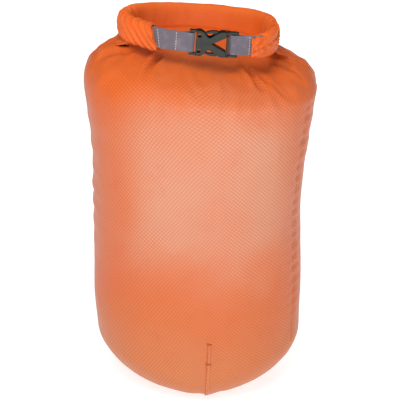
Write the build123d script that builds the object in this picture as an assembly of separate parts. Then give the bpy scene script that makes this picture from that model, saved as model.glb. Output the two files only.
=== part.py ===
"""Roll-top dry bag, full and buckled shut, in millimetres.

+Z is up, +X is to the right seen from the front, and the front faces -Y.
The origin is the middle of the flat base.
The bag is one sheet of coated cloth. Its mouth is rolled down over a strip of webbing, and the two ends
of the roll are bent forward and buckled together, which makes a carrying ring. The ring has its own
frame, RING: its origin is the middle of the ring, its X runs along the buckle and its Z is the height
of the webbing.
"""

from build123d import *
import math
import os

os.makedirs("parts", exist_ok=True)

# ---- the filled body ----
BODY_WIDTH = 210.0  # side to side at half height
BODY_DEPTH = 180.0  # front to back
BODY_HEIGHT = 352.0  # the top, where the neck starts
SHOULDER_FLARE = 9.5  # the top corners stand out this far, like a pillow's
SHOULDER_WIDTH = BODY_WIDTH + 2 * SHOULDER_FLARE
SHOULDER_DROP = 35.0
SHOULDER_HEIGHT = BODY_HEIGHT - SHOULDER_DROP  # where the shoulders are widest
SHOULDER_LEAN = 8.0  # the body is this much shallower at the shoulders
SIDE_FLAT = 20.0  # the flat stretch between two upright corners
BODY_CORNER = (BODY_DEPTH - SIDE_FLAT) / 2
BASE_ROUND = 38.0  # radius from the base to the sides
TOP_WIDTH = 165.0  # the ring stands on the top
TOP_DEPTH = 110.0
TOP_FLAT = 6.0
TOP_CORNER = (TOP_DEPTH - TOP_FLAT) / 2
TOP_INSET = (SHOULDER_WIDTH - TOP_WIDTH) / 2
TOP_INSET_DEPTH = (BODY_DEPTH - SHOULDER_LEAN - TOP_DEPTH) / 2
TOP_CORNER_LOSS = BODY_CORNER - TOP_CORNER
CLOTH = 0.8  # wall of the body, coated cloth with its folds
QUARTER_STEPS = (0, 22.5, 45, 67.5, 90)  # degrees, the sections of a rounded edge

# ---- seams ----
SEAM_WIDTH = 7.0
SEAM_RISE = 0.8  # a felled seam stands this far out of the cloth
TAPE_WIDTH = 20.0
TAPE_THICK = 0.3
BASE_SEAM_TOP = 56.0  # height of the front and rear ends of the base seam
BASE_SEAM_X = 9.0  # the base seam is this far right of the middle
SEAM_FOOT = 0.4  # the base seams end this far above the floor
SIDE_SEAM_ANGLE = -24.0  # round the right front corner, from +X
SIDE_SEAM_LOW = 42.0
SIDE_SEAM_HIGH = SHOULDER_HEIGHT + 5
SLAB_REACH = 30.0  # a slab that cuts a seam out reaches this far past the body
TACK_LENGTH = 5.0
TACK_GAP = 0.2  # from the end of a base seam to its tack
TACK_HEIGHT = 1.6
TACK_RISE = 0.5

# ---- the roll and its ring ----
NECK_RISE = 20.0  # from the top of the body to the middle of the ring
RING_HEIGHT = BODY_HEIGHT + NECK_RISE
RING_TILT = 4.0  # degrees, the right side is lower
RING_NOD = 1.5  # degrees, the front is higher
ROLL_THICK = 13.0
ROLL_TALL = 27.0
ROLL_ROUND = ROLL_THICK / 2 - 0.2
REAR_Y = 43.5  # middle of the roll at the back
REAR_RADIUS = 125.0
REAR_LEFT_ANGLE = 27.0
LEFT_BEND_RADIUS = 32.0
LEFT_BEND_ANGLE = 118.0
LEFT_ARM = 23.5
LEFT_TAB_RADIUS = 44.0
LEFT_RUN = 0.4  # the straight stretch of the left tab before its loop
RIGHT_RUN = 3.1
RIGHT_REAR_RADIUS = 30.0
RIGHT_FRONT_RADIUS = 25.0
RIGHT_ARM_ANGLE = 38.0  # the stretch of the right front bend that holds both layers of the tab
RIGHT_TAB_ANGLE = 8.0  # the last stretch of that bend is bare webbing
END_CLEAR = 0.3  # between the roll and its right end, which moves with the buckle
NECK_CLOTH = 1.0
NECK_GAP = 1.0  # between the front and the rear cloth of the neck

# ---- webbing ----
WEB_WIDE = 19.0
WEB_THICK = 1.4
WEB_CLEAR = 0.35  # room round the webbing inside the roll
LAYER_GAP = 0.1
LOOP_CLEAR = 0.3
LOOP_REACH = 7.0  # from a buckle's bar to where the two layers of the tab meet
TAB_THICK = 2 * WEB_THICK + LAYER_GAP
STITCH_LENGTH = 1.9
STITCH_PITCH = 2.6
STITCH_MARGIN = 0.7  # between the last stitch and the webbing's edge
STITCH_COUNT = int((WEB_WIDE - STITCH_LENGTH - 2 * STITCH_MARGIN) / STITCH_PITCH) + 1
STITCH_THICK = 0.5
STITCH_RISE = 0.3
LEFT_ROWS = (0.2, 0.75)  # places of the stitch rows along the bare stretch of a tab
RIGHT_ROWS = (0.5,)

# ---- side release buckle ----
# its own frame, BUCKLE, has its origin in the middle of the buckle
BUCKLE_LONG = 46.0
RAIL = 2.0  # the side rails that the webbing runs between
WEB_ROOM = 0.8  # on each side of the webbing
BUCKLE_WIDE = WEB_WIDE + 2 * (WEB_ROOM + RAIL)
HALF = BUCKLE_WIDE / 2
LONG = BUCKLE_LONG / 2
SOCKET_THICK = 8.4
PLATE = 1.7
CAVITY = SOCKET_THICK - 2 * PLATE
PLUG_THICK = 7.4
BAR = 3.0
BAR_THICK = 3.0
BAR_ROUND = BAR_THICK / 2 - 0.1
SOCKET_RAIL_THICK = BAR_THICK + 1.0
PLUG_RAIL_THICK = BAR_THICK + 1.4
SOCKET_SLOT = 3.4
PLUG_SLOT = 5.6
BLOCK_X = BAR + SOCKET_SLOT - LONG  # where the socket's closed end starts
BLOCK_LONG = 4.5
SPINE_X = BLOCK_X + BLOCK_LONG
SPINE_TALL = 5.0
MOUTH_X = LONG - 11.5  # the socket's mouth
MOUTH_STRAIGHT = 4.5  # the straight stretch of its sides
MOUTH_GAP = 0.4
PLUG_BASE_X = MOUTH_X + MOUTH_GAP
PLUG_SLOT_X = LONG - BAR - PLUG_SLOT
WAIST_X = MOUTH_X - 16.7
WAIST_HALF = HALF - 6.2
WAIST_START = (1, -0.5)  # the way the waist's curve leaves the closed end
WAIST_END = (1, 0.35)
NOTCH_X = MOUTH_X - 13.7  # point of the open V
NOTCH_HALF = HALF - 5.3
NOTCH_WALL = 1.1
LOCK_X = MOUTH_X - 7.9  # where the prong's shoulder catches
LOCK_WALL = 1.4
SQUARE_HOLE = 3.2
HOLE_X = BLOCK_X + 2.9
HOLE_Z = HALF - 4.8
RIB_LONG, RIB_TALL, RIB_WALL = 11.0, 3.0, 0.9
RIB_X = WAIST_X - 1.5
RIB_RISE = 0.2
PRONG_THICK = 2.0
PRONG_DEEP = 4.2
PRONG_Z = HALF - 2.6  # middle of a prong's beam
PRONG_TIP_X = MOUTH_X - 23.0
PIVOT_X = PLUG_BASE_X + 1.1
PIVOT_CLEAR = 0.06
PRONG_MOUTH = 1.0  # the cut in the plug's base is this much taller than a prong
HEAD_OUT = HALF - 0.2
HEAD_BAND = 1.9  # thickness of the bowed head
HEAD_CROWN_X = WAIST_X + 1.5
HEAD_CROWN_DROP = 0.2
HEAD_STEP = 2.5  # from the shoulder to where the head joins the beam
BACK_RIB = 0.4  # the rib that backs a prong's root
FIT = 0.3
EDGE = 0.45
OVER = 2.0  # a cutter reaches this far past what it cuts

RING = Pos(0, 0, RING_HEIGHT) * Rot(0, RING_TILT, 0) * Rot(-RING_NOD, 0, 0)


def body_sections(inset):
    """(height, width, depth, corner radius) of the body's outline, taken in by inset."""
    sections = []
    low = BASE_ROUND - inset
    for turn in QUARTER_STEPS:
        angle = math.radians(turn)
        taken = BASE_ROUND - low * math.sin(angle)
        height = BASE_ROUND - low * math.cos(angle)
        corner = BODY_CORNER - taken
        sections.append((height, BODY_WIDTH - 2 * taken, BODY_DEPTH - 2 * taken, corner))
    middle = (BASE_ROUND + SHOULDER_HEIGHT) / 2
    flare = (SHOULDER_WIDTH - BODY_WIDTH) / 4
    for height, wider in ((middle, 0), ((middle + SHOULDER_HEIGHT) / 2, flare)):
        sections.append(
            (height, BODY_WIDTH + wider - 2 * inset, BODY_DEPTH - 2 * inset, BODY_CORNER - inset)
        )
    rise = BODY_HEIGHT - SHOULDER_HEIGHT - inset
    for turn in QUARTER_STEPS:
        angle = math.radians(turn)
        share = 1 - math.cos(angle)
        sections.append(
            (
                SHOULDER_HEIGHT + rise * math.sin(angle),
                SHOULDER_WIDTH - 2 * (inset + (TOP_INSET - inset) * share),
                BODY_DEPTH - SHOULDER_LEAN - 2 * (inset + (TOP_INSET_DEPTH - inset) * share),
                BODY_CORNER - inset - TOP_CORNER_LOSS * share,
            )
        )
    return sections


def body_solid(inset):
    faces = [
        Pos(0, 0, height) * RectangleRounded(width, depth, corner)
        for height, width, depth, corner in body_sections(inset)
    ]
    return loft(faces)


OUTSIDE = body_solid(0)
INSIDE = body_solid(CLOTH)


def skin(inner_inset, outer_inset):
    """A thin layer that lies on the body's cloth, outside it or inside it."""
    return body_solid(outer_inset) - body_solid(inner_inset)


def side_slab(width):
    """An upright slab through the right front corner, where the side seam runs."""
    corner_x = BODY_WIDTH / 2 - BODY_CORNER
    corner_y = BODY_CORNER - BODY_DEPTH / 2
    reach = BODY_CORNER + SLAB_REACH
    tall = SIDE_SEAM_HIGH - SIDE_SEAM_LOW
    slab = Pos(reach / 2, 0, SIDE_SEAM_LOW + tall / 2) * Box(reach, width, tall)
    return Pos(corner_x, corner_y, 0) * Rot(0, 0, SIDE_SEAM_ANGLE) * slab


def base_slab(width, low, front, rear):
    """A slab across the middle of the body, from low up to the ends of the base seam."""
    tall = BASE_SEAM_TOP - low
    long = rear - front
    return Pos(BASE_SEAM_X, (front + rear) / 2, low + tall / 2) * Box(width, long, tall)


def base_tacks():
    """Bar tacks across the two ends of the base seam."""
    low = BASE_SEAM_TOP + TACK_GAP
    bar = Pos(BASE_SEAM_X, 0, low + TACK_HEIGHT / 2) * Box(TACK_LENGTH, 2 * BODY_DEPTH, TACK_HEIGHT)
    return (body_solid(-TACK_RISE) & bar) - OUTSIDE


# ---- the ring's line, seen from above ----
REAR_MIDDLE = (0, REAR_Y - REAR_RADIUS)
REAR_LEFT = CenterArc(REAR_MIDDLE, REAR_RADIUS, 90, REAR_LEFT_ANGLE)
LEFT_BEND = JernArc(REAR_LEFT @ 1, REAR_LEFT % 1, LEFT_BEND_RADIUS, LEFT_BEND_ANGLE)
LEFT_ARM_LINE = Line(LEFT_BEND @ 1, LEFT_BEND @ 1 + (LEFT_BEND % 1) * LEFT_ARM)
LEFT_TURN = 180 - REAR_LEFT_ANGLE - LEFT_BEND_ANGLE
LEFT_TAB_ARC = JernArc(LEFT_ARM_LINE @ 1, LEFT_ARM_LINE % 1, LEFT_TAB_RADIUS, LEFT_TURN)
FRONT_Y = (LEFT_TAB_ARC @ 1).Y
SOCKET_BAR_X = (LEFT_TAB_ARC @ 1).X + LEFT_RUN + LOOP_REACH
PLUG_BAR_X = SOCKET_BAR_X + BUCKLE_LONG - BAR
RIGHT_SIDE_X = PLUG_BAR_X + LOOP_REACH + RIGHT_RUN + RIGHT_FRONT_RADIUS
# the rear arc turns just far enough for the right side to run straight forward at its place
REAR_RIGHT_SINE = (RIGHT_SIDE_X - RIGHT_REAR_RADIUS) / (REAR_RADIUS - RIGHT_REAR_RADIUS)
REAR_RIGHT_ANGLE = math.degrees(math.asin(REAR_RIGHT_SINE))
RIGHT_REAR_ANGLE = 90 - REAR_RIGHT_ANGLE
REAR = CenterArc(REAR_MIDDLE, REAR_RADIUS, RIGHT_REAR_ANGLE, REAR_LEFT_ANGLE + REAR_RIGHT_ANGLE)
RIGHT_REAR = JernArc(REAR @ 0, (REAR % 0) * -1, RIGHT_REAR_RADIUS, -RIGHT_REAR_ANGLE)
SIDE_LENGTH = (RIGHT_REAR @ 1).Y - RIGHT_FRONT_RADIUS - FRONT_Y
RIGHT_SIDE = Line(RIGHT_REAR @ 1, RIGHT_REAR @ 1 + (RIGHT_REAR % 1) * (SIDE_LENGTH - END_CLEAR))
RIGHT_BEND_ANGLE = 90 - RIGHT_ARM_ANGLE - RIGHT_TAB_ANGLE
END_START = RIGHT_SIDE @ 1 + (RIGHT_SIDE % 1) * END_CLEAR
RIGHT_BEND = JernArc(END_START, RIGHT_SIDE % 1, RIGHT_FRONT_RADIUS, -RIGHT_BEND_ANGLE)
RIGHT_ARM = JernArc(RIGHT_BEND @ 1, RIGHT_BEND % 1, RIGHT_FRONT_RADIUS, -RIGHT_ARM_ANGLE)
RIGHT_TAB_ARC = JernArc(RIGHT_ARM @ 1, RIGHT_ARM % 1, RIGHT_FRONT_RADIUS, -RIGHT_TAB_ANGLE)


def band(edges, thick, tall, corner=0.0, shift=0.0):
    """A strip that stands on edge and follows the ring's line, moved inwards by shift."""
    path = Wire(edges)
    start = path @ 0
    along = path % 0
    aside = Vector(-along.Y, along.X, 0)
    if aside.dot(start) > 0:
        aside = -aside
    plane = Plane(origin=start + aside * shift, x_dir=aside, z_dir=along)
    profile = RectangleRounded(thick, tall, corner) if corner else Rectangle(thick, tall)
    return sweep(plane * profile, path=path)


def roll_piece(edges, room):
    """A stretch of the rolled cloth, with the room that the webbing has inside it."""
    slot = band(edges, room + 2 * WEB_CLEAR, WEB_WIDE + 2 * WEB_CLEAR)
    return band(edges, ROLL_THICK, ROLL_TALL, ROLL_ROUND) - slot


def neck_cloth(side):
    """The inner (+1) or outer (-1) cloth of the neck, from the body's top to the roll."""
    shift = side * (NECK_GAP + NECK_CLOTH) / 2
    sheet = band([REAR], NECK_CLOTH, ROLL_TALL, shift=shift)
    for edges in ([LEFT_BEND], [RIGHT_REAR, RIGHT_SIDE]):
        sheet += band(edges, NECK_CLOTH, ROLL_TALL, shift=shift)
    above = Pos(0, 0, BODY_HEIGHT + ROLL_TALL) * Box(2 * BODY_WIDTH, 2 * BODY_WIDTH, 2 * ROLL_TALL)
    return RING * Pos(0, 0, -ROLL_TALL) * sheet & above


def loop_round(bar_x, nose_x, strip_x):
    """The fold of webbing round a buckle's bar. nose_x is the middle of its round end."""
    inner = BAR_THICK / 2 + LOOP_CLEAR
    strip = TAB_THICK / 2
    outer_edges = [
        CenterArc((nose_x, FRONT_Y), inner + WEB_THICK, 0, 360),
        CenterArc((bar_x, FRONT_Y), inner + WEB_THICK, 0, 360),
        Line((strip_x, FRONT_Y - strip), (strip_x, FRONT_Y + strip)),
    ]
    thin = LAYER_GAP / 2
    toward = strip_x + math.copysign(WEB_THICK, bar_x - strip_x)
    inner_edges = [
        CenterArc((nose_x, FRONT_Y), inner, 0, 360),
        CenterArc((bar_x, FRONT_Y), inner, 0, 360),
        Line((toward, FRONT_Y - thin), (toward, FRONT_Y + thin)),
    ]
    face = make_hull(outer_edges) - make_hull(inner_edges)
    return extrude(face, WEB_WIDE / 2, both=True)


def left_tab():
    strip_x = SOCKET_BAR_X - LOOP_REACH
    flat = Line(LEFT_TAB_ARC @ 1, (strip_x, FRONT_Y))
    strip = band([LEFT_ARM_LINE, LEFT_TAB_ARC, flat], TAB_THICK, WEB_WIDE)
    return RING * (strip + loop_round(SOCKET_BAR_X, SOCKET_BAR_X, strip_x))


def right_tab():
    strip_x = PLUG_BAR_X + LOOP_REACH
    nose_x = PLUG_BAR_X - BAR / 2 - PLUG_SLOT + BAR_THICK / 2 + 2 * LOOP_CLEAR + WEB_THICK
    flat = Line(RIGHT_TAB_ARC @ 1, (strip_x, FRONT_Y))
    strip = band([RIGHT_ARM, RIGHT_TAB_ARC, flat], TAB_THICK, WEB_WIDE)
    return RING * (strip + loop_round(PLUG_BAR_X, nose_x, strip_x))


def stitch_row(place, heading):
    """An upright row of stitches on the outer face of a tab, at a point of its line."""
    row = []
    first = -STITCH_PITCH * (STITCH_COUNT - 1) / 2
    out = TAB_THICK / 2 + STITCH_RISE / 2
    for number in range(STITCH_COUNT):
        height = first + number * STITCH_PITCH
        stitch = Pos(0, -out, height) * Box(STITCH_THICK, STITCH_RISE, STITCH_LENGTH)
        row.append(Pos(place.X, place.Y, 0) * Rot(0, 0, heading) * stitch)
    return row


def heading_of(direction):
    return math.degrees(math.atan2(direction.Y, direction.X))


def tab_stitches(points):
    stitches = []
    for place, direction in points:
        stitches += stitch_row(place, heading_of(direction))
    return RING * Compound(children=stitches)


BUCKLE = RING * Pos(SOCKET_BAR_X - BAR / 2 + LONG, FRONT_Y, 0)


def plate_outline():
    """The socket's waisted face, in the X and Z of the buckle."""
    corners = ((SPINE_X, HALF), (WAIST_X, WAIST_HALF), (MOUTH_X - MOUTH_STRAIGHT, HALF))
    upper = [
        Line((BLOCK_X, 0), (BLOCK_X, HALF)),
        Line((BLOCK_X, HALF), corners[0]),
        Spline(*corners, tangents=(WAIST_START, WAIST_END)),
        Line(corners[-1], (MOUTH_X, HALF)),
        Line((MOUTH_X, HALF), (MOUTH_X, NOTCH_HALF)),
        Line((MOUTH_X, NOTCH_HALF), (NOTCH_X, 0)),
        Line((NOTCH_X, 0), (BLOCK_X, 0)),
    ]
    half = make_face(upper)
    return half + mirror(half, Plane.XZ)


def upright(face, thick):
    """Turns a flat outline so that its Y becomes the buckle's width, and makes it thick."""
    return Rot(90, 0, 0) * extrude(face, thick / 2, both=True)


def block(x0, x1, z0, z1, thick):
    """A block from x0 to x1 and z0 to z1, and its mirror image below the middle."""
    size = Box(x1 - x0, thick, z1 - z0)
    upper = Pos((x0 + x1) / 2, 0, (z0 + z1) / 2) * size
    return upper + Pos((x0 + x1) / 2, 0, -(z0 + z1) / 2) * size


def buckle_bar(x):
    """The round-edged bar that a webbing loop goes round."""
    bar = Pos(x, 0, 0) * Box(BAR, BAR_THICK, BUCKLE_WIDE)
    return fillet(bar.edges().filter_by(Axis.Z), BAR_ROUND)


def notch_guides():
    """The two thin walls along the open V, which guide the prongs in."""
    slope = math.degrees(math.atan2(NOTCH_HALF, MOUTH_X - NOTCH_X))
    run = math.hypot(NOTCH_HALF, MOUTH_X - NOTCH_X)
    wall = Pos(run / 2, 0, NOTCH_WALL / 2) * Box(run, CAVITY, NOTCH_WALL)
    guide = Pos(NOTCH_X, 0, 0) * Rot(0, -slope, 0) * wall
    return (guide + mirror(guide, Plane.XY)) & Box(2 * MOUTH_X, SOCKET_THICK, BUCKLE_WIDE)


def buckle_socket():
    shell = upright(plate_outline(), SOCKET_THICK)
    shell = fillet(shell.edges().filter_by(Axis.Y, reverse=True).group_by(Axis.Y)[0], EDGE)
    cavity_long = MOUTH_X + OVER / 2 - SPINE_X
    cavity = Pos(SPINE_X + cavity_long / 2, 0, 0) * Box(cavity_long, CAVITY, BUCKLE_WIDE + OVER)
    spine = Pos((SPINE_X + NOTCH_X) / 2, 0, 0) * Box(NOTCH_X - SPINE_X + OVER, CAVITY, SPINE_TALL)
    walls = block(LOCK_X, MOUTH_X, HALF - LOCK_WALL, HALF, CAVITY)
    socket = shell - (cavity - spine - walls - notch_guides())
    socket += block(-LONG, BLOCK_X, HALF - RAIL, HALF, SOCKET_RAIL_THICK)
    socket += buckle_bar(BAR / 2 - LONG)
    hole = Box(SQUARE_HOLE, SOCKET_THICK + OVER, SQUARE_HOLE)
    for z in (-HOLE_Z, HOLE_Z):
        socket -= Pos(HOLE_X, 0, z) * hole
    ring = SlotOverall(RIB_LONG, RIB_TALL) - SlotOverall(RIB_LONG - 2 * RIB_WALL, RIB_TALL - 2 * RIB_WALL)
    socket += Pos(RIB_X, -SOCKET_THICK / 2, 0) * upright(ring, 2 * RIB_RISE)
    return BUCKLE * socket


def buckle_plug():
    base_long = PLUG_SLOT_X - PLUG_BASE_X
    base = Pos(PLUG_BASE_X + base_long / 2, 0, 0) * Box(base_long, PLUG_THICK, BUCKLE_WIDE)
    plug = fillet(base.edges().filter_by(Axis.Z) + base.edges().filter_by(Axis.X), EDGE)
    plug += block(PLUG_SLOT_X, LONG - BAR / 2, HALF - RAIL, HALF, PLUG_RAIL_THICK)
    plug += buckle_bar(LONG - BAR / 2)
    seat = Rot(90, 0, 0) * Cylinder(PRONG_THICK / 2 + PIVOT_CLEAR, PLUG_THICK + OVER)
    mouth = Box(2 * (PIVOT_X - PLUG_BASE_X), PLUG_THICK + OVER, PRONG_THICK + PRONG_MOUTH)
    for z in (-PRONG_Z, PRONG_Z):
        plug -= Pos(PIVOT_X, 0, z) * seat
        plug -= Pos(PLUG_BASE_X, 0, z) * mouth
        rib = Box(BACK_RIB, PLUG_THICK - 2 * EDGE, 2 * PRONG_THICK)
        plug += Pos(PLUG_SLOT_X - BACK_RIB / 2, 0, z) * rib
    return BUCKLE * plug


def prong(side):
    """One spring arm of the plug: a beam with a round root, and a bowed head that locks."""
    half = PRONG_THICK / 2
    outer = PRONG_Z + half
    inner = PRONG_Z - half
    shoulder = (LOCK_X - FIT, HEAD_OUT)
    crown = (HEAD_CROWN_X, HEAD_OUT - HEAD_CROWN_DROP)
    crown_inside = (HEAD_CROWN_X, HEAD_OUT - 2 * HEAD_CROWN_DROP - HEAD_BAND)
    tip = (PRONG_TIP_X, HEAD_OUT - 4.4)
    tip_outside = (PRONG_TIP_X + 1.2, HEAD_OUT - 3.2)
    tip_inside = (PRONG_TIP_X + 1.6, HEAD_OUT - 4.6)
    heel = (LOCK_X - FIT - HEAD_STEP, inner + 0.6)
    heel_end = (LOCK_X - FIT - HEAD_STEP / 5, inner)
    line = [
        Line((PIVOT_X, outer), (LOCK_X - FIT, outer)),
        Line((LOCK_X - FIT, outer), shoulder),
        ThreePointArc(shoulder, crown, tip_outside),
        ThreePointArc(tip_outside, tip, tip_inside),
        ThreePointArc(tip_inside, crown_inside, heel),
        Line(heel, heel_end),
        Line(heel_end, (PIVOT_X, inner)),
        ThreePointArc((PIVOT_X, inner), (PIVOT_X + half, PRONG_Z), (PIVOT_X, outer)),
    ]
    arm = upright(make_face(line), PRONG_DEEP)
    if side < 0:
        arm = mirror(arm, Plane.XY)
    return BUCKLE * arm


def write(name, shape):
    if isinstance(shape, ShapeList):
        shape = Compound(children=list(shape))
    export_step(shape, f"parts/{name}.step")


def write_body():
    seam = skin(0, -SEAM_RISE)
    tape = skin(CLOTH + TAPE_THICK, CLOTH)
    write("body_panel", OUTSIDE - INSIDE)
    write("side_seam", seam & side_slab(SEAM_WIDTH))
    write("side_seam_tape", tape & side_slab(TAPE_WIDTH))
    write("front_base_seam", seam & base_slab(SEAM_WIDTH, SEAM_FOOT, -BODY_DEPTH, 0))
    write("rear_base_seam", seam & base_slab(SEAM_WIDTH, SEAM_FOOT, 0, BODY_DEPTH))
    write("base_seam_tape", tape & base_slab(TAPE_WIDTH, 0, -BODY_DEPTH, BODY_DEPTH))
    write("base_tacks", base_tacks())
    write("neck_front", neck_cloth(1))
    write("neck_rear", neck_cloth(-1))


def write_roll():
    right_side = [RIGHT_REAR, RIGHT_SIDE]
    write("roll_rear", RING * roll_piece([REAR], WEB_THICK))
    write("roll_left_bend", RING * roll_piece([LEFT_BEND], WEB_THICK))
    write("roll_left_arm", RING * roll_piece([LEFT_ARM_LINE], TAB_THICK))
    write("roll_right_side", RING * roll_piece(right_side, WEB_THICK))
    write("roll_right_bend", RING * roll_piece([RIGHT_BEND], WEB_THICK))
    write("roll_right_arm", RING * roll_piece([RIGHT_ARM], TAB_THICK))
    write("lip_webbing_rear", RING * band([REAR], WEB_THICK, WEB_WIDE))
    write("lip_webbing_left", RING * band([LEFT_BEND], WEB_THICK, WEB_WIDE))
    write("lip_webbing_right", RING * band(right_side, WEB_THICK, WEB_WIDE))
    write("lip_webbing_tip", RING * band([RIGHT_BEND], WEB_THICK, WEB_WIDE))


def write_closure():
    left_rows = [(LEFT_TAB_ARC @ share, LEFT_TAB_ARC % share) for share in LEFT_ROWS]
    right_rows = [(RIGHT_TAB_ARC @ share, (RIGHT_TAB_ARC % share) * -1) for share in RIGHT_ROWS]
    write("left_tab", left_tab())
    write("right_tab", right_tab())
    write("left_tab_stitches", tab_stitches(left_rows))
    write("right_tab_stitches", tab_stitches(right_rows))
    write("buckle_socket", buckle_socket())
    write("buckle_plug", buckle_plug())
    write("upper_prong", prong(1))
    write("lower_prong", prong(-1))


write_body()
write_roll()
write_closure()
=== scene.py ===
"""A roll-top dry bag, full and clipped shut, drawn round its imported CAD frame. All lengths are metres.

The cloth is one skin from the base to the neck, and the mouth is a spiral of cloth swept round the
carrying ring. The ring has a frame of its own on its tilted plane: a point of it is (distance along the
ring, outwards, upwards).
"""

import math

import bmesh
import bpy
from mathutils import Matrix, Vector, noise
from mathutils.bvhtree import BVHTree


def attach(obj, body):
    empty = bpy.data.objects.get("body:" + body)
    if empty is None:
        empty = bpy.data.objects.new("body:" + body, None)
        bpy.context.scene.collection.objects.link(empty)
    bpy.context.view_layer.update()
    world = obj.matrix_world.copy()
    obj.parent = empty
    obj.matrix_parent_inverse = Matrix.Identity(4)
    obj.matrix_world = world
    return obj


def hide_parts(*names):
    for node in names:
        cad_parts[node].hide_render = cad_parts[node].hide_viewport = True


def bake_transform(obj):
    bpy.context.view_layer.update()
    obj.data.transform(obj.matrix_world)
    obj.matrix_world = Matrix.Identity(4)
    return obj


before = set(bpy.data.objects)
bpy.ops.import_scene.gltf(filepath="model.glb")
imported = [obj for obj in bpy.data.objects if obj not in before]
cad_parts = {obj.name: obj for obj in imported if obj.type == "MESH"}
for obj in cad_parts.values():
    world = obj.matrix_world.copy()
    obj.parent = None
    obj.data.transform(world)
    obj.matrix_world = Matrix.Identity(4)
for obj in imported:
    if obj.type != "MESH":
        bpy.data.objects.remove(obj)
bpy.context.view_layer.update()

# ---- the ring's line, seen from above ----
RING_HEIGHT = 0.372
RING_TILT, RING_NOD = math.radians(4.0), math.radians(1.5)
RING_TURN = Matrix.Rotation(RING_TILT, 4, "Y") @ Matrix.Rotation(-RING_NOD, 4, "X")
RING = Matrix.Translation((0, 0, RING_HEIGHT)) @ RING_TURN
REAR_Y = 0.0435
REAR_RADIUS = 0.125
REAR_LEFT_TURN, REAR_RIGHT_TURN = math.radians(27), math.radians(24.5)
LEFT_BEND_RADIUS, LEFT_BEND_TURN = 0.032, math.radians(118)
LEFT_ARM = 0.0235
LEFT_TAB_RADIUS, LEFT_TAB_TURN = 0.044, math.radians(35)
RIGHT_REAR_RADIUS = 0.030
RIGHT_SIDE = 0.0262
RIGHT_FRONT_RADIUS = 0.025
RIGHT_ARM_TURN = math.radians(82)
QUARTER = math.pi / 2

RUN_OUT = 0.05  # a straight run past each end, for the webbing that leaves it
# each stretch is (length, turn)
LEFT_STRETCHES = (
    (REAR_RADIUS * REAR_LEFT_TURN, REAR_LEFT_TURN),
    (LEFT_BEND_RADIUS * LEFT_BEND_TURN, LEFT_BEND_TURN),
    (LEFT_ARM, 0.0),
    (LEFT_TAB_RADIUS * LEFT_TAB_TURN, LEFT_TAB_TURN),
    (RUN_OUT, 0.0),
)
RIGHT_STRETCHES = (
    (REAR_RADIUS * REAR_RIGHT_TURN, REAR_RIGHT_TURN),
    (RIGHT_REAR_RADIUS * (QUARTER - REAR_RIGHT_TURN), QUARTER - REAR_RIGHT_TURN),
    (RIGHT_SIDE, 0.0),
    (RIGHT_FRONT_RADIUS * QUARTER, QUARTER),
    (RUN_OUT, 0.0),
)
LEFT_END = sum(length for length, turn in LEFT_STRETCHES[:3])
RIGHT_SPLIT = sum(length for length, turn in RIGHT_STRETCHES[:3])
RIGHT_END = RIGHT_SPLIT + RIGHT_FRONT_RADIUS * RIGHT_ARM_TURN

# ---- the roll ----
ROLL_HALF_THICK = 0.0066
ROLL_HALF_TALL = 0.0138
ROLL_TURNS = 3.1
ROLL_LAYER = 0.00135
ROLL_CLOTH = 0.0005
SKIRT = 0.009
SKIRT_SHARE = 0.08  # the share of the spiral that hangs below the roll
SPIRAL_START = math.pi * 1.12
SPIRAL_SQUARENESS = 2.7
SPIRAL_FLATTEN = 1.35  # how much faster the turns lose height than thickness
OUTER_ROWS = 0.6  # the share of the grid's rows on the outer turn
ROLL_COLUMNS, ROLL_ROWS = 440, 96
FOLD_PITCH_LEFT, FOLD_PITCH_RIGHT = 0.0086, 0.0090
FOLD_DEEP, FINE_FOLD_DEEP = 0.0034, 0.0006
RIGHT_ARM_FOLDS = 1.3  # how much deeper the right arm's folds are
PINCHES = (0.076, 0.092, -0.084)  # upright creases inside the ring
PINCH_DEEP, PINCH_WIDE = 0.0028, 0.0020
PINCH_CREST, PINCH_CREST_WIDE, PINCH_CREST_GAP = 0.0012, 0.003, 0.0045
ARM_END_SLANT = 0.0046
LEFT_DROP, RIGHT_DROP = 0.0012, 0.0016

# ---- webbing and buckle ----
WEB_WIDE = 0.019
WEB_THICK = 0.0013
WEB_SPREAD = 0.00085
THREAD = 0.00042
SOCKET_BAR_X, PLUG_BAR_X = -0.0087, 0.0343
BAR_WRAP = 0.0030
PLUG_NOSE = 0.0031  # how much further the right loop reaches into the plug's slot
WEB_HIDDEN = 0.012  # how far each tab reaches into the roll
WEB_REACH = 0.06
WEB_STOP = 0.0075  # the straight webbing ends this far short of the bar
LINE_STEPS, WRAP_STEPS = 40, 12
WEB_COLUMNS, WEB_ROWS = 90, 14
STITCH_COUNT, STITCH_PITCH, STITCH_LONG = 7, 0.0026, 0.0020
LIP_TALL, LIP_THICK, LIP_DROP, LIP_INSET = 0.0120, 0.0009, 0.0025, 0.001

# ---- the body ----
EDGE_ROUND_SIDE, EDGE_ROUND_FRONT = 0.054, 0.030
EDGE_ROUND_FADE = 1.5
SHOULDER = 0.317
NECK_TOP = 0.363
NECK_LEFT, NECK_RIGHT = 0.124, -0.108  # the ends of the flat neck along the ring
NECK_SPREAD = 0.0022  # half the gap between the neck's front and rear cloth
NECK_UPRIGHT = 0.008  # the last stretch under the roll, which runs straight up
LEAN, SWAY, SWAY_HEIGHT, SWAY_TALL = 0.0010, 0.0042, 0.14, 0.10
BASE_LIFT = 0.0002
# the pull of the cloth over the shoulder at the (left front, right front, rear)
SHOULDER_RISE = (0.040, 0.020, 0.012)
SHOULDER_PULL = (-0.03, 0.10, 0.05)
NECK_PULL = (0.42, 0.30, 0.30)
NECK_FALL = (0.003, 0.010, 0.012)
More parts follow.
